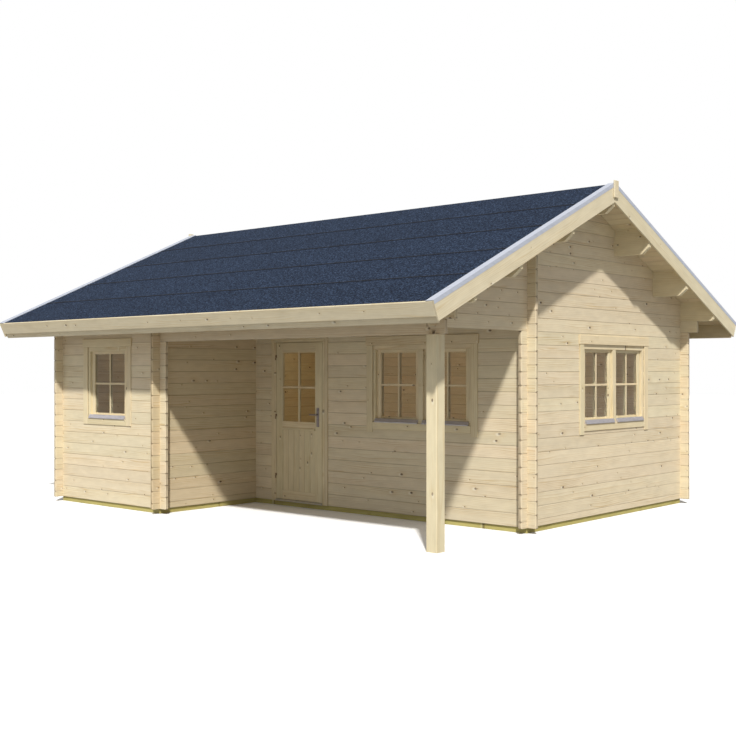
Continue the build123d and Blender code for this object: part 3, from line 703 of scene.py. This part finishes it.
def felt_material(length):
    """Mineral felt: fine grit of light and dark grains, soft blotches, and a tone for each strip."""
    material, tree, shader = new_material("roof_felt_grit")
    place = put(tree, "ShaderNodeTexCoord").outputs["Object"]
    grit = put(tree, "ShaderNodeTexVoronoi", {"Vector": place, "Scale": 260.0})
    grain = put(tree, "ShaderNodeSeparateColor", {0: grit.outputs["Color"]}).outputs
    cluster = noise(tree, place, 52.0, 3.0)
    cloud = noise(tree, place, 2.5, 3.0)
    parts = put(tree, "ShaderNodeSeparateXYZ", {0: place}).outputs
    down = maths(tree, "DIVIDE", maths(tree, "ABSOLUTE", parts["Y"]), length * math.cos(pitch) / felt_strips)
    strip = put(tree, "ShaderNodeTexWhiteNoise", {"W": maths(tree, "FLOOR", down)}, noise_dimensions="1D")
    light = maths(tree, "MULTIPLY", ramp(tree, grain["Red"], 0.0, 0.8), ramp(tree, cluster, 0.50, 0.62))
    colour = blend_colour(tree, light, felt_blue, grit_light)
    dark = maths(tree, "MULTIPLY", ramp(tree, grain["Green"], 0.0, 0.8), ramp(tree, cluster, 0.50, 0.39))
    colour = blend_colour(tree, dark, colour, grit_dark)
    tone = maths(tree, "MULTIPLY_ADD", cloud, 0.30, 0.85)
    tone = maths(tree, "MULTIPLY", tone, maths(tree, "MULTIPLY_ADD", strip.outputs["Value"], 0.08, 0.96))
    grey = put(tree, "ShaderNodeCombineColor", {0: tone, 1: tone, 2: tone}).outputs[0]
    colour = blend_colour(tree, 1.0, colour, grey, "MULTIPLY")
    tree.links.new(colour, shader.inputs["Base Color"])
    shader.inputs["Roughness"].default_value = 0.9
    shader.inputs["Specular IOR Level"].default_value = 0.2
    bump(tree, shader, grit.outputs["Distance"], 0.002)
    return material


def lap_beads(side, length, x_range):
    """Low half-round beads of bitumen along the laps: a half circle carried along x with a slow wobble."""
    rings = np.linspace(*x_range, 240)
    turn = np.linspace(0, math.pi, 7)
    wobble = 0.0012 * np.sin(9.0 * rings) + 0.0008 * np.sin(23.0 * rings + 1.3)
    origin, directions = slope_place(side)
    points, faces = [], []
    for index in range(1, felt_strips):
        down = index * length / felt_strips + wobble[:, None] + bead_radius * np.cos(turn)
        above = felt_top + 0.9 * bead_radius * np.sin(turn)
        along = np.broadcast_to(rings[:, None], down.shape)
        level = np.broadcast_to(above, down.shape)
        start = sum(len(part) for part in points)
        points.append(np.stack([along, down, level], axis=-1).reshape(-1, 3) @ directions + origin)
        grid = start + np.arange(down.size).reshape(down.shape)
        ends = np.stack([grid[:-1, 0], grid[:-1, -1], grid[1:, -1], grid[1:, 0]], axis=-1)
        skin = np.stack([grid[:-1, :-1], grid[:-1, 1:], grid[1:, 1:], grid[1:, :-1]], axis=-1)
        faces += skin.reshape(-1, 4).tolist() + ends.tolist() + [grid[0].tolist(), grid[-1].tolist()]
    return np.concatenate(points), faces


def bitumen_material():
    """Smooth black-blue bitumen with a soft sheen and fine dust."""
    material, tree, shader = new_material("lap_bitumen")
    place = put(tree, "ShaderNodeTexCoord").outputs["Object"]
    dust_and_joint_shade = noise(tree, place, 90.0, 3.0)
    colour = blend_colour(tree, ramp(tree, dust_and_joint_shade, 0.35, 0.8), srgb(6, 11, 22), srgb(13, 20, 36))
    tree.links.new(colour, shader.inputs["Base Color"])
    tree.links.new(maths(tree, "MULTIPLY_ADD", dust_and_joint_shade, 0.3, 0.5), shader.inputs["Roughness"])
    return material


bitumen = bitumen_material()
slope_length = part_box("roof_felt_rear")[1].y / math.cos(pitch) - boards_and_felt * math.tan(pitch)
felt = felt_material(slope_length)
for name, side in (("front", -1), ("rear", 1)):
    finish_node(f"roof_felt_{name}", felt)
    low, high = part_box(f"roof_felt_{name}")
    bead_points, bead_faces = lap_beads(side, slope_length, (low.x + bead_stop, high.x - bead_stop))
    new_piece(f"felt_lap_beads_{name}", bead_points, bead_faces, bitumen, "roof_felt", "root")


# Edge boards: planed spruce fascias along the eaves, barge boards up the verges and a short apex board
# over each mitre, all nailed to the ends of the purlins and the roof boards.

fascia_arris = 0.007
barge_arris = 0.003
apex_arris = 0.004
edge_pale = srgb(220, 211, 186)
edge_ring = srgb(202, 180, 136)
edge_colours = (edge_pale, edge_ring, knot_brown)
eave_wood = wood_material("edge_wood_lengthwise", *edge_colours, (0, 0, 0), 0.6)
front_slope_wood = wood_material("edge_wood_front_slope", *edge_colours, (-roof_pitch, 0, 90), 0.6)
rear_slope_wood = wood_material("edge_wood_rear_slope", *edge_colours, (roof_pitch, 0, 90), 0.5)
apex_wood = wood_material("edge_wood_upright", *edge_colours)
for name, wood in (("front", front_slope_wood), ("rear", rear_slope_wood)):
    finish_node(f"{name}_fascia", eave_wood, fascia_arris)
    finish_node(f"right_{name}_barge_board", wood, barge_arris)
    finish_node(f"left_{name}_barge_board", wood, barge_arris)
apexes = [box_board(box, apex_arris, apex_arris) for box in solid_boxes("apex_boards")]
timber_piece("apex_board_pair", apexes, apex_wood, "edge_board_wood", "root", "apex_boards")


# Verge trims: folded steel sheet, zinc coated and painted pale silver. Each strip covers the edge of the
# felt with a rib and turns down over its barge board, where it is screwed on.

def sheet_metal(name, colour, stain, metallic, roughness):
    """Coated sheet metal with faint streaks and clouds in its colour and gloss."""
    material, tree, shader = new_material(name)
    place = put(tree, "ShaderNodeTexCoord").outputs["Object"]
    stretched = put(tree, "ShaderNodeMapping", {"Vector": place, "Scale": (3.0, 3.0, 14.0)}).outputs[0]
    streak = noise(tree, stretched, 4.0, 4.0)
    shade = blend_colour(tree, ramp(tree, streak, 0.35, 0.75), colour, stain)
    tree.links.new(shade, shader.inputs["Base Color"])
    tree.links.new(maths(tree, "MULTIPLY_ADD", streak, 0.2, roughness - 0.1), shader.inputs["Roughness"])
    shader.inputs["Metallic"].default_value = metallic
    bump(tree, shader, streak, 0.0002, 0.15)
    return material


verge_metal = sheet_metal("verge_sheet_metal", srgb(186, 191, 204), srgb(177, 182, 195), 0.0, 0.4)
for node in ("right_verge_trims", "left_verge_trims"):
    finish_node(node, verge_metal)


# Door frame and threshold: spruce casings on the wall, linings through it and stops behind the leaf,
# with a grey metal threshold screwed to the foundation between the linings.

joinery_pale = srgb(226, 214, 183)
joinery_ring = srgb(200, 174, 126)
joinery_wood = wood_material("joinery_wood", joinery_pale, joinery_ring, knot_brown)
frame_arris = 0.003
frame_ease = 0.002
frame_boards = [box_board(box, frame_arris, frame_ease) for box in solid_boxes("door_frame")]
timber_piece("door_frame_boards", frame_boards, joinery_wood, "joinery_wood", "root", "door_frame")
sill_metal = sheet_metal("threshold_metal", srgb(196, 189, 174), srgb(172, 166, 152), 0.35, 0.45)
finish_node("door_sill", sill_metal)


# Door leaf: a spruce frame of stiles and rails, tongued and grooved boards in the lower panel, and a
# pane above held by beads, with a cross of glazing bars on both sides and a drip on the middle rail.

leaf_low, leaf_high = (np.array(corner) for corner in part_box("door_leaf"))
pane_low, pane_high = (np.array(corner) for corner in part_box("door_glass"))
bottom_rail = 0.110
middle_rail = 0.102
panel_recess = 0.009
panel_boards = 6
bar_width = 0.025
bar_depth = 0.013
bead_width = 0.006
drip_height = 0.024
drip_depth = 0.012
door_bar_level = 1.521
drip_arris = 0.005
sash_arris = 0.004
stile_ease = 0.002
butt_ease = 0.0005


def corners(x, y, z):
    """Low and high corner from limits on the three axes."""
    return tuple(np.array([x, y, z], float).T)


def glazing_bars(place, u, d, z, bar_level):
    """Cross of bars and a ring of beads on one face of a pane, between limits in the pane's place."""
    middle = (u[0] + u[1]) / 2
    half = bar_width / 2
    inner_u = (u[0] + bead_width, u[1] - bead_width)
    upright = (middle - half, middle + half)
    limits = [
        (upright, (z[0], bar_level - half), "z"),
        (upright, (bar_level + half, z[1]), "z"),
        (u, (bar_level - half, bar_level + half), "x"),
        ((u[0], inner_u[0]), z, "z"),
        ((inner_u[1], u[1]), z, "z"),
        (inner_u, (z[0], z[0] + bead_width), "x"),
        (inner_u, (z[1] - bead_width, z[1]), "x"),
    ]
    return [board(place, *corners(wide, d, tall), axis, sash_arris, butt_ease) for wide, tall, axis in limits]


leaf_x = (leaf_low[0], leaf_high[0])
leaf_y = (leaf_low[1], leaf_high[1])
leaf_z = (leaf_low[2], leaf_high[2])
pane_x = (pane_low[0], pane_high[0])
pane_z = (pane_low[2], pane_high[2])
panel_z = (leaf_z[0] + bottom_rail, pane_z[0] - middle_rail)
leaf_boards = [
    board(ON_SITE, *corners((leaf_x[0], pane_x[0]), leaf_y, leaf_z), "z", sash_arris, stile_ease),
    board(ON_SITE, *corners((pane_x[1], leaf_x[1]), leaf_y, leaf_z), "z", sash_arris, stile_ease),
    board(ON_SITE, *corners(pane_x, leaf_y, (leaf_z[0], panel_z[0])), "x", sash_arris, butt_ease),
    board(ON_SITE, *corners(pane_x, leaf_y, (panel_z[1], pane_z[0])), "x", sash_arris, butt_ease),
    board(ON_SITE, *corners(pane_x, leaf_y, (pane_z[1], leaf_z[1])), "x", sash_arris, butt_ease),
]
panel_y = (leaf_y[0] + panel_recess, leaf_y[1] - panel_recess)
edges = np.linspace(*pane_x, panel_boards + 1)
for near, far in zip(edges[:-1], edges[1:]):
    panel_board = corners((near, far), panel_y, panel_z)
    leaf_boards.append(board(ON_SITE, *panel_board, "z", sash_arris, butt_ease, LEVEL_JOINT))
drip_z = (panel_z[1], panel_z[1] + drip_height)
drip_y = (leaf_y[0] - drip_depth, leaf_y[0] + 0.001)
leaf_boards.append(board(ON_SITE, *corners(pane_x, drip_y, drip_z), "x", drip_arris, sash_arris))
timber_piece("door_leaf_joinery", leaf_boards, joinery_wood, "joinery_wood", "door", "door_leaf")
outer_bars = glazing_bars(ON_SITE, pane_x, (pane_low[1] - bar_depth, pane_low[1]), pane_z, door_bar_level)
inner_bars = glazing_bars(ON_SITE, pane_x, (pane_high[1], pane_high[1] + bar_depth), pane_z, door_bar_level)
timber_piece("door_glazing_bars", outer_bars + inner_bars, joinery_wood, "joinery_wood", "door")


# Door hinges and handles: lift-off hinges of dark steel on the outer face, and grey cast levers on long
# plates on both faces.

hinge_steel = sheet_metal("hinge_steel", srgb(146, 124, 98), srgb(124, 104, 82), 0.2, 0.45)
handle_metal = sheet_metal("handle_metal", srgb(168, 160, 163), srgb(150, 143, 147), 0.55, 0.38)
for node in ("door_hinge_pins", "door_hinge_sleeves"):
    finish_node(node, hinge_steel)
finish_node("door_handles", handle_metal)


# Windows: spruce casing boards nailed over the opening, a fixed frame with set-back sashes, beads and a
# cross of glazing bars on both sides of each pane, and an aluminium rain rail under each sash.

frame_face = 0.036
frame_head = 0.054
sash_setback = 0.029
sash_depth = 0.042
sash_stile = 0.060
sash_rail = 0.032
mullion = 0.066
rail_height = 0.048
glass_setback = 0.047
glass_thickness = 0.006
outer_bar_depth = 0.008
inner_bar_depth = 0.030
casing_arris = 0.004
casing_ease = 0.003
facing_front = np.eye(3)
facing_right = np.array([(0, 1.0, 0), (-1, 0, 0), (0, 0, 1)])
windows = [("porch", facing_front, 2), ("gable", facing_right, 2), ("front", facing_front, 1)]


def window_joinery(node, directions, sash_count):
    """Boards of a window's fixed frame and sashes, and the bars and beads on its panes.

    The place has u along the wall, d into the wall from the frame's outer face, and z up.
    """
    low, high = (np.array(corner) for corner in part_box(node))
    local_low = np.minimum(directions @ low, directions @ high)
    local_high = np.maximum(directions @ low, directions @ high)
    place = (np.zeros(3), directions)
    u = (local_low[0], local_high[0])
    d = (local_low[1], local_high[1])
    z = (local_low[2], local_high[2])
    jamb_z = (z[0] + rail_height, z[1] - frame_head)
    pieces = [
        board(place, *corners(u, d, (z[0], jamb_z[0])), "x"),
        board(place, *corners(u, d, (jamb_z[1], z[1])), "x"),
        board(place, *corners((u[0], u[0] + frame_face), d, jamb_z), "z", frame_arris, butt_ease),
        board(place, *corners((u[1] - frame_face, u[1]), d, jamb_z), "z", frame_arris, butt_ease),
    ]
    bars = []
    clear = u[1] - u[0] - 2 * frame_face - (sash_count - 1) * mullion
    sash = clear / sash_count
    sash_d = (d[0] + sash_setback, d[0] + sash_setback + sash_depth)
    for index in range(sash_count):
        start = u[0] + frame_face + index * (sash + mullion)
        if index:
            between = corners((start - mullion, start), d, jamb_z)
            pieces.append(board(place, *between, "z", frame_arris, butt_ease))
        pane_u = (start + sash_stile, start + sash - sash_stile)
        pane_z = (jamb_z[0] + sash_rail / 2, jamb_z[1] - sash_rail)
        pieces += [
            board(place, *corners((start, pane_u[0]), sash_d, jamb_z), "z", frame_arris, butt_ease),
            board(place, *corners((pane_u[1], start + sash), sash_d, jamb_z), "z", frame_arris, butt_ease),
            board(place, *corners(pane_u, sash_d, (jamb_z[0], pane_z[0])), "x", frame_arris, butt_ease),
            board(place, *corners(pane_u, sash_d, (pane_z[1], jamb_z[1])), "x", frame_arris, butt_ease),
        ]
        face = d[0] + glass_setback
        back = face + glass_thickness
        bar_level = (pane_z[0] + pane_z[1]) / 2
        bars += glazing_bars(place, pane_u, (face - outer_bar_depth, face), pane_z, bar_level)
        bars += glazing_bars(place, pane_u, (back, back + inner_bar_depth), pane_z, bar_level)
    return pieces, bars


rail_metal = sheet_metal("rain_rail_metal", srgb(206, 202, 207), srgb(190, 187, 193), 0.6, 0.38)
finish_node("window_drip_rails", rail_metal)
for name, directions, sash_count in windows:
    casing_node = f"{name}_window_casing"
    frame_node = f"{name}_window_frame"
    casing = [box_board(box, casing_arris, casing_ease) for box in solid_boxes(casing_node)]
    timber_piece(f"{name}_casing_boards", casing, joinery_wood, "joinery_wood", "root", casing_node)
    joinery, bars = window_joinery(frame_node, directions, sash_count)
    timber_piece(f"{name}_window_sashes", joinery, joinery_wood, "joinery_wood", "root", frame_node)
    timber_piece(f"{name}_glazing_bars", bars, joinery_wood, "joinery_wood", "root")


# Glass: one clear float pane, 6 mm thick, in each sash and in the door leaf. Each pane is held
# between beads and sealed round its edge.

def glass_material():
    """Clear float glass with a faint film of dust. The rooms behind it have light of their own."""
    material, tree, shader = new_material("clear_glass")
    shader.inputs["Base Color"].default_value = srgb(246, 248, 246)
    shader.inputs["Transmission Weight"].default_value = 1.0
    shader.inputs["IOR"].default_value = 1.25
    shader.inputs["Specular IOR Level"].default_value = 0.2
    place = put(tree, "ShaderNodeTexCoord").outputs["Object"]
    film = noise(tree, place, 6.0, 3.0)
    tree.links.new(maths(tree, "MULTIPLY", ramp(tree, film, 0.5, 0.9), 0.05), shader.inputs["Roughness"])
    return material


glass = glass_material()
for node in ("window_glass", "door_glass"):
    finish_node(node, glass)


# Studio: a plain white floor that keeps the shadow, a soft sun from the right front, a sky that is a little
# brighter at the left front, a warm lamp in each part of the room, and a level camera.

sun_from = (0.481, -0.524, 0.703)
sun_strength = 3.85
sun_width = 2.5
sun_colour = (1.0, 0.985, 0.955)
sky_strength = 0.445
sky_favour = (-0.21, -0.28, 0.0)
floor_bounce = (0.37, 0.37, 0.37, 1)
floor_white = (1, 1, 1, 1)
floor_reach = 60.0
lamp_colour = (1.0, 0.85, 0.62)
lamp_size = 0.5
room_lamps = [((0.9, 0.9, 2.1), 19.5), ((-2.2, 0.3, 2.1), 16.5)]
camera_place = (9.661, -10.933, 1.745)
camera_turn = 41.49
lens = 53.95
shift_up = 0.0023


def shown_directly(tree):
    """One for rays that show a surface as it is, to the camera or through glass.

    To those rays the floor and the sky are white. As light on the cabin both are greyer.
    """
    path = put(tree, "ShaderNodeLightPath").outputs
    unscattered = maths(tree, "LESS_THAN", path["Diffuse Depth"], 0.5)
    through_glass = maths(tree, "MULTIPLY", path["Is Transmission Ray"], unscattered)
    return maths(tree, "MAXIMUM", path["Is Camera Ray"], through_glass)


floor_mesh = bpy.data.meshes.new("studio_floor")
corner_signs = ((-1, -1), (1, -1), (1, 1), (-1, 1))
floor_corners = [(floor_reach * x, floor_reach * y, 0) for x, y in corner_signs]
floor_mesh.from_pydata(floor_corners, [], [(0, 1, 2, 3)])
floor = bpy.data.objects.new("studio_floor", floor_mesh)
bpy.context.scene.collection.objects.link(floor)
floor_material, floor_tree, floor_shader = new_material("studio_floor_white")
floor_colour = blend_colour(floor_tree, shown_directly(floor_tree), floor_bounce, floor_white)
floor_tree.links.new(floor_colour, floor_shader.inputs["Base Color"])
floor_shader.inputs["Roughness"].default_value = 1.0
floor_shader.inputs["Specular IOR Level"].default_value = 0.0
floor_mesh.materials.append(floor_material)

sun_data = bpy.data.lights.new("soft_sun", "SUN")
sun_data.energy = sun_strength
sun_data.angle = math.radians(sun_width)
sun_data.color = sun_colour
sun = bpy.data.objects.new("soft_sun", sun_data)
bpy.context.scene.collection.objects.link(sun)
tilt = math.acos(sun_from[2] / math.dist((0, 0, 0), sun_from))
sun.rotation_euler = (tilt, 0, math.atan2(sun_from[0], -sun_from[1]))

for number, (place, power) in enumerate(room_lamps):
    lamp_data = bpy.data.lights.new(f"room_light_{number}", "POINT")
    lamp_data.energy = power
    lamp_data.shadow_soft_size = lamp_size
    lamp_data.color = lamp_colour
    lamp = bpy.data.objects.new(f"room_light_{number}", lamp_data)
    lamp.location = place
    lamp.visible_camera = False
    lamp.visible_glossy = False
    lamp.visible_transmission = False
    bpy.context.scene.collection.objects.link(lamp)

world = bpy.data.worlds.new("studio_white")
world.use_nodes = True
bpy.context.scene.world = world
sky = world.node_tree
sky.nodes.clear()
towards = put(sky, "ShaderNodeTexCoord").outputs["Object"]
favour = put(sky, "ShaderNodeVectorMath", {0: towards, 1: sky_favour}, operation="DOT_PRODUCT")
soft_light = maths(sky, "MULTIPLY_ADD", favour.outputs["Value"], sky_strength, sky_strength)
sky_light = maths(sky, "MAXIMUM", soft_light, shown_directly(sky))
sky_shader = put(sky, "ShaderNodeBackground", {"Color": (1, 1, 1, 1), "Strength": sky_light})
put(sky, "ShaderNodeOutputWorld", {"Surface": sky_shader.outputs[0]})

camera_data = bpy.data.cameras.new("camera")
camera_data.lens = lens
camera_data.sensor_width = 36.0
camera_data.shift_y = shift_up
camera = bpy.data.objects.new("camera", camera_data)
camera.location = camera_place
camera.rotation_euler = (math.radians(90), 0, math.radians(camera_turn))
bpy.context.scene.collection.objects.link(camera)
bpy.context.scene.camera = camera
bpy.context.scene.view_settings.view_transform = "Standard"
